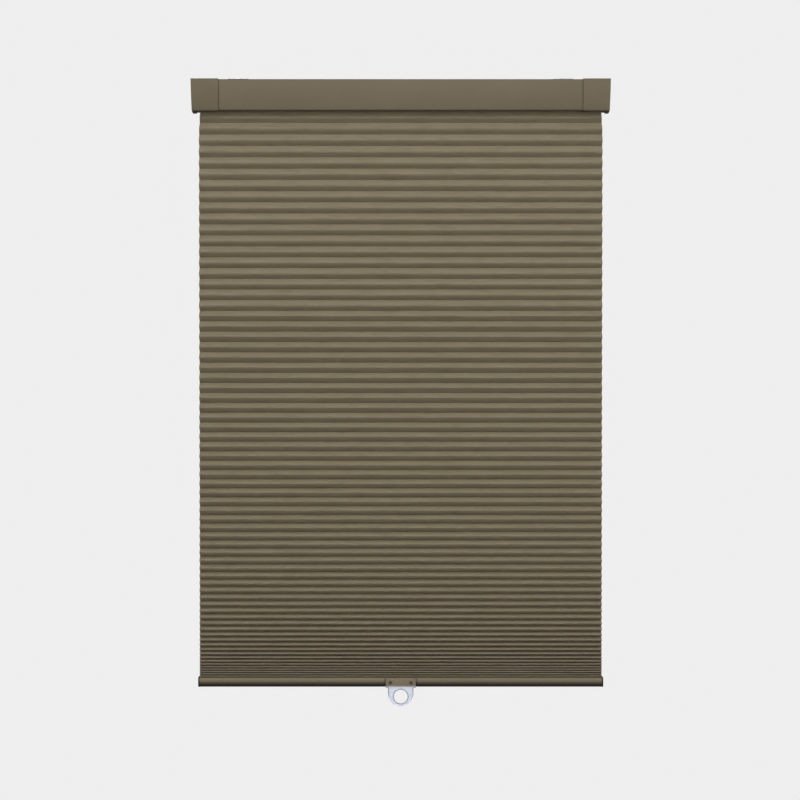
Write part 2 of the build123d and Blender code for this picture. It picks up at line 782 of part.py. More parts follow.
with BuildPart() as bottom_rail:
    extrude(foot_rail_section.sketch, amount=foot_rail_length / 2, both=True)
    for x in (-handle_screw_x, handle_screw_x):
        with Locations(Plane((x, -foot_rail_half_depth, handle_screw_z), (1, 0, 0), (0, -1, 0))):
            Hole(handle_screw_radius + handle_screw_fit, depth=2 * foot_rail_wall)
finish(bottom_rail, "bottom_rail")


def make_foot_cap(side):
    """A cap with a plug that fills the bottom rail below the cloth's last cell."""
    face = Plane.YZ.offset(side * foot_rail_length / 2)
    plug_top = cloth_bottom - foot_cap_plug_clearance
    with BuildPart() as cap:
        with BuildSketch(face):
            add(foot_rail_outline(foot_cap_proud))
        extrude(amount=side * foot_cap_thickness)
        outer_face = cap.faces().filter_by(Axis.X).sort_by(Axis.X)[-1 if side > 0 else 0]
        fillet(outer_face.edges(), foot_cap_thickness / 2)
        with BuildSketch(face):
            add(foot_rail_outline(-foot_rail_wall - foot_cap_fit))
            with Locations((0, plug_top - foot_rail_height / 2)):
                Rectangle(4 * foot_rail_half_depth, foot_rail_height, mode=Mode.INTERSECT)
        extrude(amount=-side * foot_cap_plug)
    return cap


for side_name, side in sides.items():
    finish(make_foot_cap(side), f"bottom_rail_cap_{side_name}")

tab_front = Plane((0, handle_front, 0), (1, 0, 0), (0, -1, 0))
tab_round_z = foot_rail_bottom - handle_tab_straight
ledge_top = foot_rail_bottom - handle_fit

with BuildPart() as handle:
    with BuildSketch(Plane.YZ) as saddle:
        saddle_depth = foot_rail_half_depth
        saddle_height = handle_top - ledge_top + handle_ledge_thickness / 2
        with Locations((handle_front + saddle_depth / 2, handle_top - saddle_height / 2)):
            Rectangle(saddle_depth, saddle_height)
        add(foot_rail_outline(handle_fit), mode=Mode.SUBTRACT)
        # the part of the section behind the bottom rail's front is left out
        with Locations((handle_front + saddle_depth, foot_rail_middle)):
            Rectangle(saddle_depth, 2 * foot_rail_height, mode=Mode.SUBTRACT)
    extrude(amount=handle_plate_half, both=True)
    with BuildSketch(tab_front):
        with Locations((0, (ledge_top + tab_round_z) / 2)):
            Rectangle(2 * handle_tab_half, ledge_top - tab_round_z)
        with Locations((0, tab_round_z)):
            Circle(handle_tab_half)
        with Locations((0, ledge_top + handle_tab_half)):
            Rectangle(4 * handle_tab_half, 2 * handle_tab_half, mode=Mode.SUBTRACT)
    extrude(amount=-handle_thickness)
    with Locations(
        (0, handle_front + handle_ledge_depth / 2, ledge_top - handle_ledge_thickness / 2)
    ):
        Box(2 * handle_tab_half, handle_ledge_depth, handle_ledge_thickness)
    with Locations(Plane((0, handle_front, finger_hole_z), (1, 0, 0), (0, -1, 0))):
        Hole(finger_hole_radius, depth=handle_thickness)
    front_face = handle.faces().filter_by(Axis.Y).sort_by(Axis.Y)[0]
    fillet(front_face.edges(), handle_edge)
    for x in (-handle_screw_x, handle_screw_x):
        with Locations(Plane((x, handle_front, handle_screw_z), (1, 0, 0), (0, -1, 0))):
            CounterBoreHole(
                handle_screw_radius + handle_screw_fit,
                handle_screw_head_radius + handle_screw_fit,
                handle_screw_head_height,
                depth=2 * handle_thickness,
            )
finish(handle, "handle")

with BuildPart() as handle_screws:
    for x in (-handle_screw_x, handle_screw_x):
        with BuildSketch(Plane((x, handle_front, handle_screw_z), (1, 0, 0), (0, -1, 0))):
            Circle(handle_screw_head_radius)
        extrude(amount=-handle_screw_head_height)
        with BuildSketch(Plane((x, handle_front, handle_screw_z), (1, 0, 0), (0, -1, 0))):
            Circle(handle_screw_radius)
        extrude(amount=-handle_screw_length)
finish(handle_screws, "handle_screws")
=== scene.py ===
import json
import math

import bmesh
import bpy
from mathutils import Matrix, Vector


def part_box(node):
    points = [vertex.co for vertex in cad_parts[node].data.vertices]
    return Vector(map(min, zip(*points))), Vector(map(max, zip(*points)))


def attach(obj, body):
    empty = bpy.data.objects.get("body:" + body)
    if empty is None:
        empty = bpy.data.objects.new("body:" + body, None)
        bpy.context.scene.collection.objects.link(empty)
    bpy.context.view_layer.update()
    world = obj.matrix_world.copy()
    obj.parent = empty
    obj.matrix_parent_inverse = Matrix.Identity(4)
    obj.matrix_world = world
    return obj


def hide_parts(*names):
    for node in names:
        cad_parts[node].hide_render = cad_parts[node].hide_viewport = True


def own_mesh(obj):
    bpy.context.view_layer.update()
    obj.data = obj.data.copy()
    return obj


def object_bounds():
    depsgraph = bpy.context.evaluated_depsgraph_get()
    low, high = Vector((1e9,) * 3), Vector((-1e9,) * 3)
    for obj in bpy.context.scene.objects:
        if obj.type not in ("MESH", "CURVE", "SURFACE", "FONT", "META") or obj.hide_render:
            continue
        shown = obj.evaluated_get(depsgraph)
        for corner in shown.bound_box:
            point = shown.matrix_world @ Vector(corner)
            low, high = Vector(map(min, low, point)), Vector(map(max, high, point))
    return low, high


# A cordless cellular blind, fully lowered, in metres. -Y faces the room and +Z is up.

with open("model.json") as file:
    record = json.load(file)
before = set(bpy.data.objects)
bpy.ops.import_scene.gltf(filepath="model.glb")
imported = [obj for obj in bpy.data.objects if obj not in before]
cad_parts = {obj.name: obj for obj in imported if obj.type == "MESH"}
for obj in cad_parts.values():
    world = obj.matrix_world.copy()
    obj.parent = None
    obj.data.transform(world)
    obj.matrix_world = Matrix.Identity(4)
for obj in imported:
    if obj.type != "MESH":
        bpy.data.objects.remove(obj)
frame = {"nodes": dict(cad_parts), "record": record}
cad_low, cad_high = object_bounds()
foot_rail_low, foot_rail_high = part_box("bottom_rail")
openings = {entry["name"]: entry["box_m"] for entry in frame["record"]["physics"]["openings"]}
finger_hole = openings["finger_hole"]

MM = 0.001

# ---------------------------------------------------------------------------------------------
# Sizes
# ---------------------------------------------------------------------------------------------

# the cloth's honeycomb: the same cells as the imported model's
CELL_COUNT = 68
FACET_LENGTH = 10.4 * MM
GLUE_WIDTH = 4.0 * MM
CLOTH_WALL = 0.3 * MM
OPEN_PITCH = 14.67 * MM
CLOSED_PITCH = 2.93 * MM
PITCH_SLOPE = 0.373
PITCH_BEND = 4.28
PITCH_FALL = 0.916
HEAD_CELL_PITCH = 8.0 * MM
FOOT_CELL_PITCH = 5.0 * MM

# how the cloth departs from its folded form
CREASE = 0.35 * MM  # half the height of the rounded nose of a cell
BOW = 0.22 * MM  # how far a facet stands out between its folds
SIDE_FLARE = 1.3 * MM  # the top of the cloth is this much wider at each side
NOSE_FLARE = 0.35 * MM  # the cut ends of the noses stand out by this much
RIPPLE = 0.06 * MM
CLOTH_COLUMNS = 40

# the handle's tab
TAB_HALF = 16.0 * MM
TAB_RIM = 1.7 * MM
HOLE_RADIUS = 8.7 * MM

# lift cords
CORD_RADIUS = 0.5 * MM
CORD_STRANDS = 4
CORD_TWIST = 4.5 * MM  # length of one turn of the lay
CORD_SIDES = 16
CORD_RING_STEP = 1.1 * MM
KNOT_RADIUS = 1.4 * MM

# finishes
GRAIN_DEPTH = 0.06 * MM
JOINT_PAINTED_SHADE_TONE = 0.25  # how dark the painted shade in a close joint is, as a share of the finish's dark tone
# painted shade: how dark a finish's lower part is made, as a share of its dark tone
UNDERSIDE_PAINTED_SHADE_TONE = 0.06
SHADOW_CLEARED = 0.97  # the share of light that passes the clear handle to what it covers

# the floor is this far under the blind
FLOOR_DROP = 0.34

# camera: a long lens, square to the blind
VIEW_WIDTH = 1.012
VIEW_CENTRE = (-0.0009, -0.4057)
LENS = 200.0
SENSOR = 36.0

# ---------------------------------------------------------------------------------------------
# Helpers
# ---------------------------------------------------------------------------------------------


def mesh_piece(name, points, faces, uvs=None):
    """A new piece from its points and faces, with an optional UV for each point."""
    mesh = bpy.data.meshes.new(name)
    mesh.from_pydata(points, [], faces)
    if uvs is not None:
        layer = mesh.uv_layers.new(name="cloth")
        for loop in mesh.loops:
            layer.data[loop.index].uv = uvs[loop.vertex_index]
    mesh.validate()
    piece = bpy.data.objects.new(name, mesh)
    bpy.context.scene.collection.objects.link(piece)
    return piece


def face_outward(piece):
    shell = bmesh.new()
    shell.from_mesh(piece.data)
    bmesh.ops.recalc_face_normals(shell, faces=shell.faces)
    shell.to_mesh(piece.data)
    shell.free()


def smooth(piece, degrees):
    """Smooth shading, with edges sharper than the angle kept sharp."""
    bpy.ops.object.select_all(action="DESELECT")
    piece.select_set(True)
    bpy.context.view_layer.objects.active = piece
    bpy.ops.object.shade_smooth_by_angle(angle=math.radians(degrees))
    piece.select_set(False)


def paint(piece, material):
    piece.data.materials.clear()
    piece.data.materials.append(material)


# ---------------------------------------------------------------------------------------------
# Shared effects
# ---------------------------------------------------------------------------------------------


def new_group(name, inputs, outputs):
    """A shader node group with float or vector inputs, and its input and output nodes."""
    group = bpy.data.node_groups.new(name, "ShaderNodeTree")
    for label, kind, value in inputs:
        socket = group.interface.new_socket(label, in_out="INPUT", socket_type=kind)
        if value is not None:
            socket.default_value = value
    for label, kind in outputs:
        group.interface.new_socket(label, in_out="OUTPUT", socket_type=kind)
    return group, group.nodes.new("NodeGroupInput"), group.nodes.new("NodeGroupOutput")


def math_node(nodes, links, operation, *values):
    """The operation on numbers or on other nodes' values."""
    node = nodes.new("ShaderNodeMath")
    node.operation = operation
    for socket, value in zip(node.inputs, values):
        if isinstance(value, float):
            socket.default_value = value
        else:
            links.new(value, socket)
    return node.outputs[0]


def ranged(nodes, links, value, start, end, low=0.0, high=1.0):
    """The value remapped: low where it is at its start, high where it is at its end."""
    remap = nodes.new("ShaderNodeMapRange")
    remap.inputs["From Min"].default_value = start
    remap.inputs["From Max"].default_value = end
    remap.inputs["To Min"].default_value = low
    remap.inputs["To Max"].default_value = high
    links.new(value, remap.inputs["Value"])
    return remap.outputs["Result"]


def make_grain_group():
    """Fine uneven grain: a mask for tone, one for gloss, and a height for relief."""
    group, source, sink = new_group(
        "surface_grain",
        [
            ("Vector", "NodeSocketVector", None),
            ("Grain", "NodeSocketFloat", 900.0),
            ("Mottle", "NodeSocketFloat", 18.0),
        ],
        [("Tone", "NodeSocketFloat"), ("Gloss", "NodeSocketFloat"), ("Height", "NodeSocketFloat")],
    )
    nodes, links = group.nodes, group.links
    fine = nodes.new("ShaderNodeTexNoise")
    fine.inputs["Detail"].default_value = 3.0
    broad = nodes.new("ShaderNodeTexNoise")
    broad.inputs["Detail"].default_value = 4.0
    broad.inputs["Roughness"].default_value = 0.62
    links.new(source.outputs["Vector"], fine.inputs["Vector"])
    links.new(source.outputs["Vector"], broad.inputs["Vector"])
    links.new(source.outputs["Grain"], fine.inputs["Scale"])
    links.new(source.outputs["Mottle"], broad.inputs["Scale"])
    tone = math_node(nodes, links, "MULTIPLY_ADD", fine.outputs["Fac"], 0.35, broad.outputs["Fac"])
    links.new(tone, sink.inputs["Tone"])
    links.new(broad.outputs["Fac"], sink.inputs["Gloss"])
    links.new(fine.outputs["Fac"], sink.inputs["Height"])
    return group


def make_wear_group():
    """Where edges have rubbed: 1 on sharp outer edges, broken up by noise."""
    group, source, sink = new_group(
        "edge_wear",
        [("Vector", "NodeSocketVector", None), ("Amount", "NodeSocketFloat", 1.0)],
        [("Mask", "NodeSocketFloat")],
    )
    nodes, links = group.nodes, group.links
    geometry = nodes.new("ShaderNodeNewGeometry")
    bevel = nodes.new("ShaderNodeBevel")
    bevel.samples = 4
    bevel.inputs["Radius"].default_value = 0.5 * MM
    bend = nodes.new("ShaderNodeVectorMath")
    bend.operation = "DOT_PRODUCT"
    links.new(geometry.outputs["Normal"], bend.inputs[0])
    links.new(bevel.outputs["Normal"], bend.inputs[1])
    sharp = ranged(nodes, links, bend.outputs["Value"], 0.995, 0.9)
    scuffs = nodes.new("ShaderNodeTexNoise")
    scuffs.inputs["Scale"].default_value = 160.0
    scuffs.inputs["Detail"].default_value = 3.0
    links.new(source.outputs["Vector"], scuffs.inputs["Vector"])
    broken = ranged(nodes, links, scuffs.outputs["Fac"], 0.42, 0.72)
    both = math_node(nodes, links, "MULTIPLY", sharp, broken)
    scaled = math_node(nodes, links, "MULTIPLY", both, source.outputs["Amount"])
    links.new(scaled, sink.inputs["Mask"])
    return group


def make_painted_joint_shade_group():
    """Painted shade where surfaces meet closely: 1 in a joint, where the nearby surfaces would shade it.
    """
    group, source, sink = new_group(
        "joint_shade",
        [("Reach", "NodeSocketFloat", 3.0 * MM), ("Amount", "NodeSocketFloat", 1.0)],
        [("Mask", "NodeSocketFloat")],
    )
    nodes, links = group.nodes, group.links
    closeness = nodes.new("ShaderNodeAmbientOcclusion")
    closeness.samples = 6
    links.new(source.outputs["Reach"], closeness.inputs["Distance"])
    shade = ranged(nodes, links, closeness.outputs["AO"], 0.97, 0.68)
    scaled = math_node(nodes, links, "MULTIPLY", shade, source.outputs["Amount"])
    links.new(scaled, sink.inputs["Mask"])
    return group


GRAIN = make_grain_group()
WEAR = make_wear_group()
PAINTED_JOINT_SHADE = make_painted_joint_shade_group()

# ---------------------------------------------------------------------------------------------
# Materials
# ---------------------------------------------------------------------------------------------


def start_material(name):
    material = bpy.data.materials.new(name)
    material.use_nodes = True
    nodes, links = material.node_tree.nodes, material.node_tree.links
    shader = nodes["Principled BSDF"]
    return material, nodes, links, shader


def ramp(nodes, links, value, dark, light, low=0.3, high=0.9):
    """A colour between dark and light, by a value between low and high."""
    colours = nodes.new("ShaderNodeValToRGB")
    colours.color_ramp.elements[0].position = low
    colours.color_ramp.elements[0].color = (*dark, 1.0)
    colours.color_ramp.elements[1].position = high
    colours.color_ramp.elements[1].color = (*light, 1.0)
    links.new(value, colours.inputs["Fac"])
    return colours.outputs["Color"]


def spread(nodes, links, value, low, high):
    """A noise value spread between low and high."""
    return ranged(nodes, links, value, 0.25, 0.75, low, high)


def mixed(nodes, links, factor, first, second):
    """The first colour where the factor is 0, the second where it is 1."""
    mix = nodes.new("ShaderNodeMix")
    mix.data_type = "RGBA"
    links.new(factor, mix.inputs["Factor"])
    for label, colour in (("A", first), ("B", second)):
        if isinstance(colour, tuple):
            mix.inputs[label].default_value = (*colour, 1.0)
        else:
            links.new(colour, mix.inputs[label])
    return mix.outputs["Result"]


def relief(nodes, links, height, strength, distance, shader):
    bump = nodes.new("ShaderNodeBump")
    bump.inputs["Strength"].default_value = strength
    bump.inputs["Distance"].default_value = distance
    links.new(height, bump.inputs["Height"])
    links.new(bump.outputs["Normal"], shader.inputs["Normal"])


def height_share(nodes, links, low, high):
    """0 at the low height and 1 at the high one, eased between."""
    place = nodes.new("ShaderNodeTexCoord")
    split = nodes.new("ShaderNodeSeparateXYZ")
    links.new(place.outputs["Object"], split.inputs["Vector"])
    share = nodes.new("ShaderNodeMapRange")
    share.interpolation_type = "SMOOTHSTEP"
    share.inputs["From Min"].default_value = low
    share.inputs["From Max"].default_value = high
    links.new(split.outputs["Z"], share.inputs["Value"])
    return share.outputs["Result"]


def hard_finish(name, dark, light, rough, metallic=0.0, grain=900.0, mottle=18.0,
                stretch=(1.0, 1.0, 1.0), bump=0.15, wear=None, wear_amount=0.0,
                joint_shade=0.0, specular=0.5, painted_underside_shade=None):
    """Paint, moulded plastic or metal: grained tone and gloss, fine relief and rubbed edges, with
    optional painted shade in close joints and towards the bottom.
    """
    material, nodes, links, shader = start_material(name)
    place = nodes.new("ShaderNodeTexCoord")
    turn = nodes.new("ShaderNodeMapping")
    turn.inputs["Scale"].default_value = stretch
    links.new(place.outputs["Object"], turn.inputs["Vector"])
    skin = nodes.new("ShaderNodeGroup")
    skin.node_tree = GRAIN
    skin.inputs["Grain"].default_value = grain
    skin.inputs["Mottle"].default_value = mottle
    links.new(turn.outputs["Vector"], skin.inputs["Vector"])
    colour = ramp(nodes, links, skin.outputs["Tone"], dark, light)
    if wear:
        rubbed = nodes.new("ShaderNodeGroup")
        rubbed.node_tree = WEAR
        rubbed.inputs["Amount"].default_value = wear_amount
        links.new(place.outputs["Object"], rubbed.inputs["Vector"])
        colour = mixed(nodes, links, rubbed.outputs["Mask"], colour, wear)
    # painted shade: the colour darkens where surfaces meet closely
    if joint_shade:
        joint = nodes.new("ShaderNodeGroup")
        joint.node_tree = PAINTED_JOINT_SHADE
        joint.inputs["Amount"].default_value = joint_shade
        joint_painted_shade = tuple(tone * JOINT_PAINTED_SHADE_TONE for tone in dark)
        colour = mixed(nodes, links, joint.outputs["Mask"], colour, joint_painted_shade)
    # painted shade: darker towards the bottom, where less light falls
    if painted_underside_shade:
        shade = tuple(tone * UNDERSIDE_PAINTED_SHADE_TONE for tone in dark)
        colour = mixed(nodes, links, height_share(nodes, links, *painted_underside_shade), shade, colour)
    links.new(colour, shader.inputs["Base Color"])
    links.new(spread(nodes, links, skin.outputs["Gloss"], *rough), shader.inputs["Roughness"])
    relief(nodes, links, skin.outputs["Height"], bump, GRAIN_DEPTH, shader)
    shader.inputs["Metallic"].default_value = metallic
    shader.inputs["Specular IOR Level"].default_value = specular
    return material


def cell_fabric():
    """Spun-bonded polyester: long fine fibres laid mostly along the blind, with a dull sheen."""
    material, nodes, links, shader = start_material("cell_fabric")
    place = nodes.new("ShaderNodeUVMap")
    place.uv_map = "cloth"

    def cloth_noise(scale, detail, roughness=0.5, distortion=0.0):
        stretch = nodes.new("ShaderNodeMapping")
        stretch.inputs["Scale"].default_value = (*scale, 1.0)
        links.new(place.outputs["UV"], stretch.inputs["Vector"])
        noise = nodes.new("ShaderNodeTexNoise")
        noise.inputs["Scale"].default_value = 1.0
        noise.inputs["Detail"].default_value = detail
        noise.inputs["Roughness"].default_value = roughness
        noise.inputs["Distortion"].default_value = distortion
        links.new(stretch.outputs["Vector"], noise.inputs["Vector"])
        return noise.outputs["Fac"]

    fibres = cloth_noise((45.0, 900.0), 5.0, roughness=0.65, distortion=0.6)
    specks = cloth_noise((1400.0, 1400.0), 3.0)
    clouds = cloth_noise((26.0, 60.0), 4.0)
    fine = math_node(nodes, links, "MULTIPLY_ADD", specks, 0.5, fibres)
    tone = math_node(nodes, links, "MULTIPLY_ADD", clouds, 0.45, fine)
    colour = ramp(nodes, links, tone, (0.178, 0.149, 0.094), (0.254, 0.216, 0.143), 0.6, 1.35)
    links.new(colour, shader.inputs["Base Color"])
    links.new(spread(nodes, links, fibres, 0.78, 0.95), shader.inputs["Roughness"])
    relief(nodes, links, fine, 0.35, 0.08 * MM, shader)
    shader.inputs["Specular IOR Level"].default_value = 0.25
    shader.inputs["Subsurface Weight"].default_value = 0.75
    shader.inputs["Subsurface Radius"].default_value = (1.0, 0.95, 0.85)
    shader.inputs["Subsurface Scale"].default_value = 0.5 * MM
    shader.inputs["Sheen Weight"].default_value = 0.12
    shader.inputs["Sheen Roughness"].default_value = 0.45
    shader.inputs["Sheen Tint"].default_value = (0.75, 0.70, 0.60, 1.0)
    return material


def cord_fibre():
    """Braided polyester cord: crossing strands in two tones."""
    material, nodes, links, shader = start_material("cord_fibre")
    place = nodes.new("ShaderNodeTexCoord")
    braid = nodes.new("ShaderNodeTexWave")
    braid.bands_direction = "DIAGONAL"
    braid.inputs["Scale"].default_value = 420.0
    braid.inputs["Distortion"].default_value = 1.5
    braid.inputs["Detail"].default_value = 2.0
    links.new(place.outputs["Object"], braid.inputs["Vector"])
    colour = ramp(nodes, links, braid.outputs["Fac"], (0.13, 0.11, 0.08), (0.27, 0.235, 0.175), 0.1, 0.9)
    links.new(colour, shader.inputs["Base Color"])
    links.new(spread(nodes, links, braid.outputs["Fac"], 0.65, 0.85), shader.inputs["Roughness"])
    relief(nodes, links, braid.outputs["Fac"], 0.5, 0.1 * MM, shader)
    shader.inputs["Sheen Weight"].default_value = 0.2
    return material


def tab_rim_painted_shade(nodes, links):
    """Painted shade on the handle's thick moulded rims, in place of the darkening that refraction gives
    them: round the tab and round its hole.
    """
    centre_z = (finger_hole[0][2] + finger_hole[1][2]) / 2
    place = nodes.new("ShaderNodeTexCoord")
    centred = nodes.new("ShaderNodeVectorMath")
    centred.operation = "SUBTRACT"
    centred.inputs[1].default_value = (0, 0, centre_z)
    flat = nodes.new("ShaderNodeVectorMath")
    flat.operation = "MULTIPLY"
    flat.inputs[1].default_value = (1, 0, 1)
    below = nodes.new("ShaderNodeVectorMath")
    below.operation = "MINIMUM"
    below.inputs[1].default_value = (1, 1, 0)
    links.new(place.outputs["Object"], centred.inputs[0])
    links.new(centred.outputs["Vector"], flat.inputs[0])
    links.new(flat.outputs["Vector"], below.inputs[0])
    rims = []
    for spot, start, end in (
        (below, TAB_HALF - TAB_RIM, TAB_HALF - 0.3 * TAB_RIM),
        (flat, HOLE_RADIUS + TAB_RIM, HOLE_RADIUS + 0.3 * TAB_RIM),
    ):
        reach = nodes.new("ShaderNodeVectorMath")
        reach.operation = "LENGTH"
        links.new(spot.outputs["Vector"], reach.inputs[0])
        rims.append(ranged(nodes, links, reach.outputs["Value"], start, end))
    either = math_node(nodes, links, "MAXIMUM", *rims)
    under_rail = height_share(
        nodes, links, foot_rail_low.z + 0.5 * MM, foot_rail_low.z - 1.0 * MM
    )
    return math_node(nodes, links, "MULTIPLY", either, under_rail)


def clear_plastic():
    """Clear moulded plastic, a little milky: cool in the tab; where it covers the rail, the rail's brown
    is painted into it in place of the rail seen through, and its rims take painted shade.
    """
    material, nodes, links, shader = start_material("clear_plastic")
    place = nodes.new("ShaderNodeTexCoord")
    skin = nodes.new("ShaderNodeGroup")
    skin.node_tree = GRAIN
    skin.inputs["Grain"].default_value = 700.0
    skin.inputs["Mottle"].default_value = 60.0
    links.new(place.outputs["Object"], skin.inputs["Vector"])
    tab = ramp(nodes, links, skin.outputs["Tone"], (0.66, 0.70, 0.78), (0.76, 0.80, 0.87))
    # painted see-through: the rail's brown, painted into the plate where it covers the rail
    plate_painted_see_through = ramp(nodes, links, skin.outputs["Tone"], (0.30, 0.255, 0.180), (0.36, 0.305, 0.220))
    over_rail = height_share(
        nodes, links, foot_rail_low.z - 0.5 * MM, foot_rail_low.z + 1.5 * MM
    )
    body = mixed(nodes, links, over_rail, tab, plate_painted_see_through)
    # painted shade on the thick rims
    colour = mixed(nodes, links, tab_rim_painted_shade(nodes, links), body, (0.33, 0.36, 0.43))
    links.new(colour, shader.inputs["Base Color"])
    links.new(spread(nodes, links, skin.outputs["Gloss"], 0.02, 0.06), shader.inputs["Roughness"])
    relief(nodes, links, skin.outputs["Height"], 0.02, 0.02 * MM, shader)
    shader.inputs["Transmission Weight"].default_value = 0.55
    shader.inputs["IOR"].default_value = 1.35
    shader.inputs["Specular IOR Level"].default_value = 0.3
    path = nodes.new("ShaderNodeLightPath")
    opacity = math_node(
        nodes, links, "MULTIPLY_ADD", path.outputs["Is Shadow Ray"], -SHADOW_CLEARED, 1.0
    )
    links.new(opacity, shader.inputs["Alpha"])
    return material


# the joint_shade amounts set how much painted shade falls in close joints
MATERIALS = {
    "headrail_paint": hard_finish(
        "headrail_paint", (0.140, 0.115, 0.073), (0.168, 0.139, 0.091), (0.50, 0.60),
        grain=1500.0, mottle=11.0, bump=0.10, wear=(0.27, 0.24, 0.19), wear_amount=0.25,
        joint_shade=0.95, specular=0.18,
    ),
    "cap_plastic": hard_finish(
        "cap_plastic", (0.134, 0.110, 0.070), (0.162, 0.134, 0.088), (0.52, 0.62),
        grain=2200.0, mottle=25.0, bump=0.22, wear=(0.24, 0.21, 0.16), wear_amount=0.2,
        joint_shade=0.85, specular=0.18,
    ),
    # a lighter copy of the headrail's paint as a painted highlight, with painted shade in joints and
    # towards its bottom
    "foot_rail_painted_light_and_shade": hard_finish(
        "foot_rail_painted_light_and_shade", (0.185, 0.152, 0.097), (0.220, 0.182, 0.120), (0.50, 0.60),
        grain=1500.0, mottle=11.0, bump=0.10, joint_shade=0.9, specular=0.15,
        painted_underside_shade=(foot_rail_low.z + 1.5 * MM, foot_rail_high.z - 1.6 * MM),
    ),
    # a near-black copy of the cap plastic as painted shade, darker still towards its bottom
    "foot_cap_plastic_painted_shade": hard_finish(
        "foot_cap_plastic_painted_shade", (0.040, 0.033, 0.022), (0.060, 0.050, 0.034), (0.50, 0.60),
        grain=2200.0, mottle=25.0, bump=0.2, specular=0.15,
        painted_underside_shade=(foot_rail_low.z + 0.5 * MM, foot_rail_high.z),
    ),
    "bracket_steel": hard_finish(
        "bracket_steel", (0.42, 0.43, 0.44), (0.66, 0.67, 0.69), (0.28, 0.46), metallic=1.0,
        grain=600.0, mottle=120.0, bump=0.12, wear=(0.85, 0.85, 0.86), wear_amount=0.5,
    ),
    "shaft_steel": hard_finish(
        "shaft_steel", (0.45, 0.45, 0.46), (0.66, 0.66, 0.67), (0.20, 0.34), metallic=1.0,
        grain=900.0, mottle=60.0, stretch=(0.04, 1.0, 1.0), bump=0.2,
    ),
    "spring_steel": hard_finish(
        "spring_steel", (0.20, 0.23, 0.30), (0.34, 0.38, 0.46), (0.22, 0.38), metallic=1.0,
        grain=700.0, mottle=50.0, stretch=(1.0, 0.3, 0.3), bump=0.15,
    ),
    "screw_steel": hard_finish(
        "screw_steel", (0.035, 0.032, 0.028), (0.085, 0.080, 0.072), (0.35, 0.5), metallic=0.8,
        grain=900.0, mottle=200.0, bump=0.2, wear=(0.40, 0.39, 0.37), wear_amount=0.4,
    ),
    "motor_plastic": hard_finish(
        "motor_plastic", (0.62, 0.61, 0.56), (0.76, 0.75, 0.70), (0.42, 0.58),
        grain=1800.0, mottle=40.0, bump=0.2,
    ),
    "drum_plastic": hard_finish(
        "drum_plastic", (0.68, 0.66, 0.60), (0.82, 0.80, 0.74), (0.36, 0.5),
        grain=1500.0, mottle=45.0, bump=0.15,
    ),
    "spool_plastic": hard_finish(
        "spool_plastic", (0.018, 0.018, 0.019), (0.045, 0.045, 0.047), (0.38, 0.52),
        grain=1800.0, mottle=60.0, bump=0.2, wear=(0.14, 0.14, 0.14), wear_amount=0.35,
    ),
    "insert_plastic": hard_finish(
        "insert_plastic", (0.50, 0.48, 0.43), (0.62, 0.60, 0.55), (0.48, 0.62),
        grain=1200.0, mottle=50.0, stretch=(0.05, 1.0, 1.0), bump=0.2,
    ),
    "cell_fabric": cell_fabric(),
    "cord_fibre": cord_fibre(),
    "clear_plastic": clear_plastic(),
}

# the bottom rail and its caps take lit and shaded copies of their finishes: painted highlight and
# painted shade
LIT_AND_SHADED_FINISH = {
    "bottom_rail": "foot_rail_painted_light_and_shade",
    "bottom_rail_cap_left": "foot_cap_plastic_painted_shade",
    "bottom_rail_cap_right": "foot_cap_plastic_painted_shade",
}
for subpart in frame["record"]["subparts"]:
    finish_name = LIT_AND_SHADED_FINISH.get(subpart["node"], subpart["material_slot"])
    paint(frame["nodes"][subpart["node"]], MATERIALS[finish_name])

# ---------------------------------------------------------------------------------------------
# Honeycomb cloth
# ---------------------------------------------------------------------------------------------


def cell_pitch(index):
    """Height of one visible cell: wide open at the top, closed at the foot."""
    share = (index + 0.5) / CELL_COUNT
    openness = 1 - PITCH_SLOPE * share - (1 - PITCH_SLOPE) * share**PITCH_BEND
    return max(CLOSED_PITCH, OPEN_PITCH * openness**PITCH_FALL)


cloth_low, cloth_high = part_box("cell_cloth")
cloth_half = (cloth_high.x - cloth_low.x) / 2
cloth_top = cloth_high.z

pitches = [HEAD_CELL_PITCH] + [cell_pitch(i) for i in range(CELL_COUNT)] + [FOOT_CELL_PITCH]
glue_lines = [cloth_top]
for pitch in pitches:
    glue_lines.append(glue_lines[-1] - pitch)
first_glue = glue_lines[1]
last_glue = glue_lines[-2]


def cell_side(upper, lower):
    """One side of a cell, from its upper glue line round the nose to its lower one."""
    pitch = upper - lower
    depth = math.sqrt(FACET_LENGTH**2 - (pitch / 2) ** 2)
    crease = min(CREASE, pitch / 6)
    middle = (upper + lower) / 2
    blunt = depth * crease / (pitch / 2)
    out_y, out_z = pitch / 2 / FACET_LENGTH, depth / FACET_LENGTH
    side = []
    for t in (0.0, 0.33, 0.67):
        bow = BOW * math.sin(math.pi * t)
        y = GLUE_WIDTH / 2 + depth * t + bow * out_y
        side.append((y, upper - pitch / 2 * t + bow * out_z))
    side.append((GLUE_WIDTH / 2 + depth - blunt * 0.35, middle + crease))
    mirror = [(y, 2 * middle - z) for y, z in reversed(side)]
    return side + mirror


def ripple(x, index, phase):
    """A slow uneven wave along the blind, a little different from cell to cell."""
    wave = math.sin(x * 21.0 + index * 0.31 + phase) + 0.6 * math.sin(x * 47.0 - index * 0.53 + phase)
    return wave * RIPPLE / 1.6


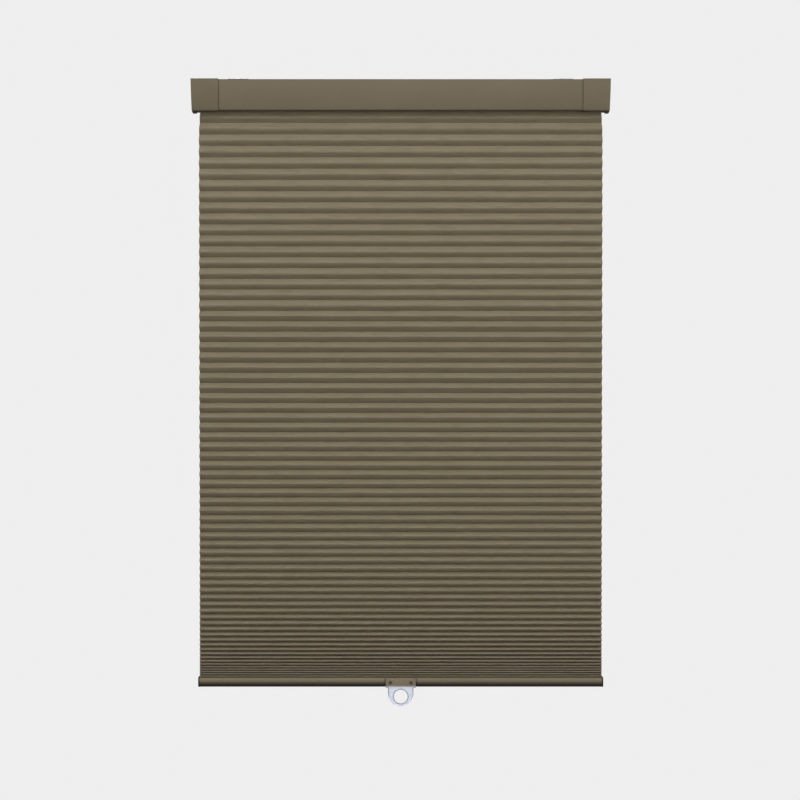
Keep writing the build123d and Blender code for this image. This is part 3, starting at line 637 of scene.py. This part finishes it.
def build_cloth():
    """The cells as one closed skin: outer walls, the hollow of each cell and the cut ends."""
    points, faces, uvs = [], [], []
    count = len(pitches)
    side_points = 8
    sides = [cell_side(upper, lower) for upper, lower in zip(glue_lines, glue_lines[1:])]
    columns = [column / CLOTH_COLUMNS * 2 - 1 for column in range(CLOTH_COLUMNS + 1)]

    def place(share, index, y, z, nose):
        """A point of the section set along the blind, with its flare and its ripple."""
        drop = min(1.0, max(0.0, (first_glue - z) / (2 * OPEN_PITCH)))
        fall = 1 - (first_glue - z) / (first_glue - last_glue)
        flare = drop * (SIDE_FLARE * max(0.0, fall) + NOSE_FLARE * nose)
        x = share * (cloth_half + flare)
        hidden = index == 0 or index >= count - 1
        shift = 0.0 if hidden else ripple(x, index, 0.0) * nose
        swing = 0.0 if hidden else ripple(x, index, 2.1) * nose
        room = min(1.0, (glue_lines[index] - glue_lines[index + 1]) / (14 * MM))
        return (x, y + math.copysign(swing * room, y) if y else y, z + shift * room)

    total = 0.0
    loops = []
    for side in sides:
        nose_y = max(y for y, _ in side)
        lengths = [0.0]
        for (y0, z0), (y1, z1) in zip(side, side[1:]):
            lengths.append(lengths[-1] + math.hypot(y1 - y0, z1 - z0))
        entry = []
        for (y, z), length in zip(side, lengths):
            nose = (y - GLUE_WIDTH / 2) / (nose_y - GLUE_WIDTH / 2)
            entry.append((y, z, nose, total + length))
        total += lengths[-1]
        loops.append(entry)

    def inner_of(entry):
        """The hollow's side: the outer side moved in by the wall's thickness."""
        moved = []
        for i, (y, z, nose, length) in enumerate(entry):
            before = entry[max(0, i - 1)]
            after = entry[min(len(entry) - 1, i + 1)]
            dy, dz = after[0] - before[0], after[1] - before[1]
            size = math.hypot(dy, dz)
            if i == 0:
                moved.append((y, z - CLOTH_WALL, nose, length))
            elif i == len(entry) - 1:
                moved.append((y, z + CLOTH_WALL, nose, length))
            else:
                moved.append((y + dz / size * CLOTH_WALL, z - dy / size * CLOTH_WALL, nose, length))
        return moved

    # the section's points: for each cell, front and back, outer and inner
    section = []
    index_of = {}
    for index, entry in enumerate(loops):
        inner = inner_of(entry)
        for face_name, sign in (("front", -1), ("back", 1)):
            for i, (y, z, nose, length) in enumerate(entry):
                if i == 0 and index > 0:
                    index_of[(index, face_name, "outer", 0)] = index_of[
                        (index - 1, face_name, "outer", side_points - 1)
                    ]
                    continue
                index_of[(index, face_name, "outer", i)] = len(section)
                section.append((index, sign * y, z, nose, length))
            for i, (y, z, nose, length) in enumerate(inner):
                index_of[(index, face_name, "inner", i)] = len(section)
                section.append((index, sign * y, z, nose, length))
    size = len(section)
    for share in columns:
        for index, y, z, nose, length in section:
            x, py, pz = place(share, index, y, z, nose)
            points.append((x, py, pz))
            uvs.append((x, length if y < 0 else length + 4.0))

    def strip(a, b, flip):
        """Faces along the blind between two of the section's points."""
        for column in range(CLOTH_COLUMNS):
            here, there = column * size, (column + 1) * size
            quad = (here + a, here + b, there + b, there + a)
            faces.append(quad[::-1] if flip else quad)

    last = CLOTH_COLUMNS * size

    def cut(a, b, c, d):
        """One quad of the cut section, at each end of the cloth."""
        faces.append((a, b, c, d))
        faces.append((last + d, last + c, last + b, last + a))

    for index in range(count):
        for face_name, flip in (("front", False), ("back", True)):
            for i in range(side_points - 1):
                a = index_of[(index, face_name, "outer", i)]
                b = index_of[(index, face_name, "outer", i + 1)]
                c = index_of[(index, face_name, "inner", i + 1)]
                d = index_of[(index, face_name, "inner", i)]
                strip(a, b, flip)
                strip(d, c, not flip)
                cut(*((a, b, c, d) if flip else (d, c, b, a)))
        # the hollow's flat top and bottom, where the cell is glued to the next
        top_front = index_of[(index, "front", "inner", 0)]
        top_back = index_of[(index, "back", "inner", 0)]
        low_front = index_of[(index, "front", "inner", side_points - 1)]
        low_back = index_of[(index, "back", "inner", side_points - 1)]
        strip(top_back, top_front, True)
        strip(low_front, low_back, True)
        # the glued strip between this hollow and the glue line
        edge_front = index_of[(index, "front", "outer", 0)]
        edge_back = index_of[(index, "back", "outer", 0)]
        cut(edge_front, edge_back, top_back, top_front)
        foot_front = index_of[(index, "front", "outer", side_points - 1)]
        foot_back = index_of[(index, "back", "outer", side_points - 1)]
        cut(low_front, low_back, foot_back, foot_front)
        if index == 0:
            strip(edge_front, edge_back, True)
        if index == count - 1:
            strip(foot_back, foot_front, True)

    cloth = mesh_piece("honeycomb_cloth", points, faces, uvs)
    face_outward(cloth)
    paint(cloth, MATERIALS["cell_fabric"])
    smooth(cloth, 50)
    return cloth, total


cloth, developed_side = build_cloth()
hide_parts("cell_cloth")
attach(cloth, "root")

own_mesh(cloth)

# ---------------------------------------------------------------------------------------------
# Lift cords
# ---------------------------------------------------------------------------------------------


def build_cord(side_name):
    """A laid cord that hangs straight through the cells to the knot under its button."""
    low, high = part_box(f"lift_cord_{side_name}")
    middle_x = (low.x + high.x) / 2
    knot_z = low.z + KNOT_RADIUS
    rings = max(2, round((high.z - low.z) / CORD_RING_STEP))
    points, faces = [], []
    for ring in range(rings + 1):
        z = high.z + (low.z - high.z) * ring / rings
        turn = z / CORD_TWIST * 2 * math.pi
        swell = KNOT_RADIUS**2 - (z - knot_z) ** 2
        for side in range(CORD_SIDES):
            angle = side / CORD_SIDES * 2 * math.pi
            lay = 0.82 + 0.18 * abs(math.cos(CORD_STRANDS / 2 * (angle + turn)))
            radius = CORD_RADIUS * lay
            if swell > 0:
                radius = max(radius, math.sqrt(swell) * (0.88 + 0.12 * lay))
            points.append((
                middle_x + radius * math.cos(angle),
                radius * math.sin(angle),
                z,
            ))
    for ring in range(rings):
        for side in range(CORD_SIDES):
            after = (side + 1) % CORD_SIDES
            here, there = ring * CORD_SIDES, (ring + 1) * CORD_SIDES
            faces.append((here + side, there + side, there + after, here + after))
    faces.append(tuple(range(CORD_SIDES)))
    faces.append(tuple(rings * CORD_SIDES + s for s in reversed(range(CORD_SIDES))))
    cord = mesh_piece(f"braided_lift_cord_{side_name}", points, faces)
    face_outward(cord)
    paint(cord, MATERIALS["cord_fibre"])
    smooth(cord, 60)
    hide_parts(f"lift_cord_{side_name}")
    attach(cord, "root")
    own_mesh(cord)


for side_name in ("left", "right"):
    build_cord(side_name)

# ---------------------------------------------------------------------------------------------
# Floor, light and camera
# ---------------------------------------------------------------------------------------------


def make_floor():
    """A plain pale floor under the hanging blind."""
    bpy.ops.object.select_all(action="DESELECT")
    bpy.ops.mesh.primitive_plane_add(size=1.5, location=(0, 0, cad_low.z - FLOOR_DROP))
    floor = bpy.context.active_object
    floor.name = "floor"
    paint(floor, hard_finish("floor_paint", (0.70, 0.70, 0.71), (0.76, 0.76, 0.77), (0.6, 0.75),
                             grain=60.0, mottle=3.0, bump=0.05))


def make_world(seen, lit_low, lit_high):
    """A pale surround: an even tone where it is seen, and light that comes mostly from above."""
    world = bpy.data.worlds.new("studio")
    bpy.context.scene.world = world
    world.use_nodes = True
    nodes, links = world.node_tree.nodes, world.node_tree.links
    background = nodes["Background"]
    background.inputs["Color"].default_value = (1.0, 1.0, 1.0, 1.0)
    direction = nodes.new("ShaderNodeTexCoord")
    height = nodes.new("ShaderNodeSeparateXYZ")
    links.new(direction.outputs["Generated"], height.inputs["Vector"])
    sky = nodes.new("ShaderNodeMapRange")
    sky.inputs["From Min"].default_value = -0.3
    sky.inputs["From Max"].default_value = 0.9
    sky.inputs["To Min"].default_value = lit_low
    sky.inputs["To Max"].default_value = lit_high
    links.new(height.outputs["Z"], sky.inputs["Value"])
    path = nodes.new("ShaderNodeLightPath")
    seen_through = nodes.new("ShaderNodeMath")
    seen_through.operation = "MAXIMUM"
    links.new(path.outputs["Is Camera Ray"], seen_through.inputs[0])
    links.new(path.outputs["Is Transmission Ray"], seen_through.inputs[1])
    level = nodes.new("ShaderNodeMix")
    links.new(seen_through.outputs[0], level.inputs["Factor"])
    links.new(sky.outputs["Result"], level.inputs["A"])
    level.inputs["B"].default_value = seen
    links.new(level.outputs["Result"], background.inputs["Strength"])


def add_light(name, elevation, azimuth, distance, size, power):
    """A square soft light that faces the middle of the blind."""
    middle = Vector((0, 0, (cad_low.z + cad_high.z) / 2))
    rise, turn = math.radians(elevation), math.radians(azimuth)
    away = Vector((
        math.sin(turn) * math.cos(rise),
        -math.cos(turn) * math.cos(rise),
        math.sin(rise),
    ))
    data = bpy.data.lights.new(name, "AREA")
    data.shape = "SQUARE"
    data.size = size
    data.energy = power
    light = bpy.data.objects.new(name, data)
    light.location = middle + away * distance
    light.rotation_euler = away.to_track_quat("Z", "Y").to_euler()
    bpy.context.scene.collection.objects.link(light)


def make_camera():
    """A long lens square to the blind, so that its sides stay parallel."""
    data = bpy.data.cameras.new("camera")
    data.lens = LENS
    data.sensor_width = SENSOR
    camera = bpy.data.objects.new("camera", data)
    distance = VIEW_WIDTH * LENS / SENSOR
    camera.location = (VIEW_CENTRE[0], -distance, VIEW_CENTRE[1])
    camera.rotation_euler = (math.radians(90), 0, 0)
    data.clip_end = 50.0
    bpy.context.scene.collection.objects.link(camera)
    bpy.context.scene.camera = camera


bpy.context.scene.view_settings.view_transform = "Standard"
make_floor()
make_world(seen=0.86, lit_low=0.10, lit_high=0.18)
add_light("key", elevation=42, azimuth=-6, distance=3.2, size=0.32, power=35)
add_light("fill_right", elevation=8, azimuth=30, distance=3.6, size=1.4, power=38)
add_light("fill_left", elevation=8, azimuth=-30, distance=3.6, size=1.4, power=31)
add_light("high", elevation=66, azimuth=0, distance=3.2, size=0.8, power=6)
add_light("back", elevation=38, azimuth=165, distance=3.0, size=1.2, power=60)
make_camera()
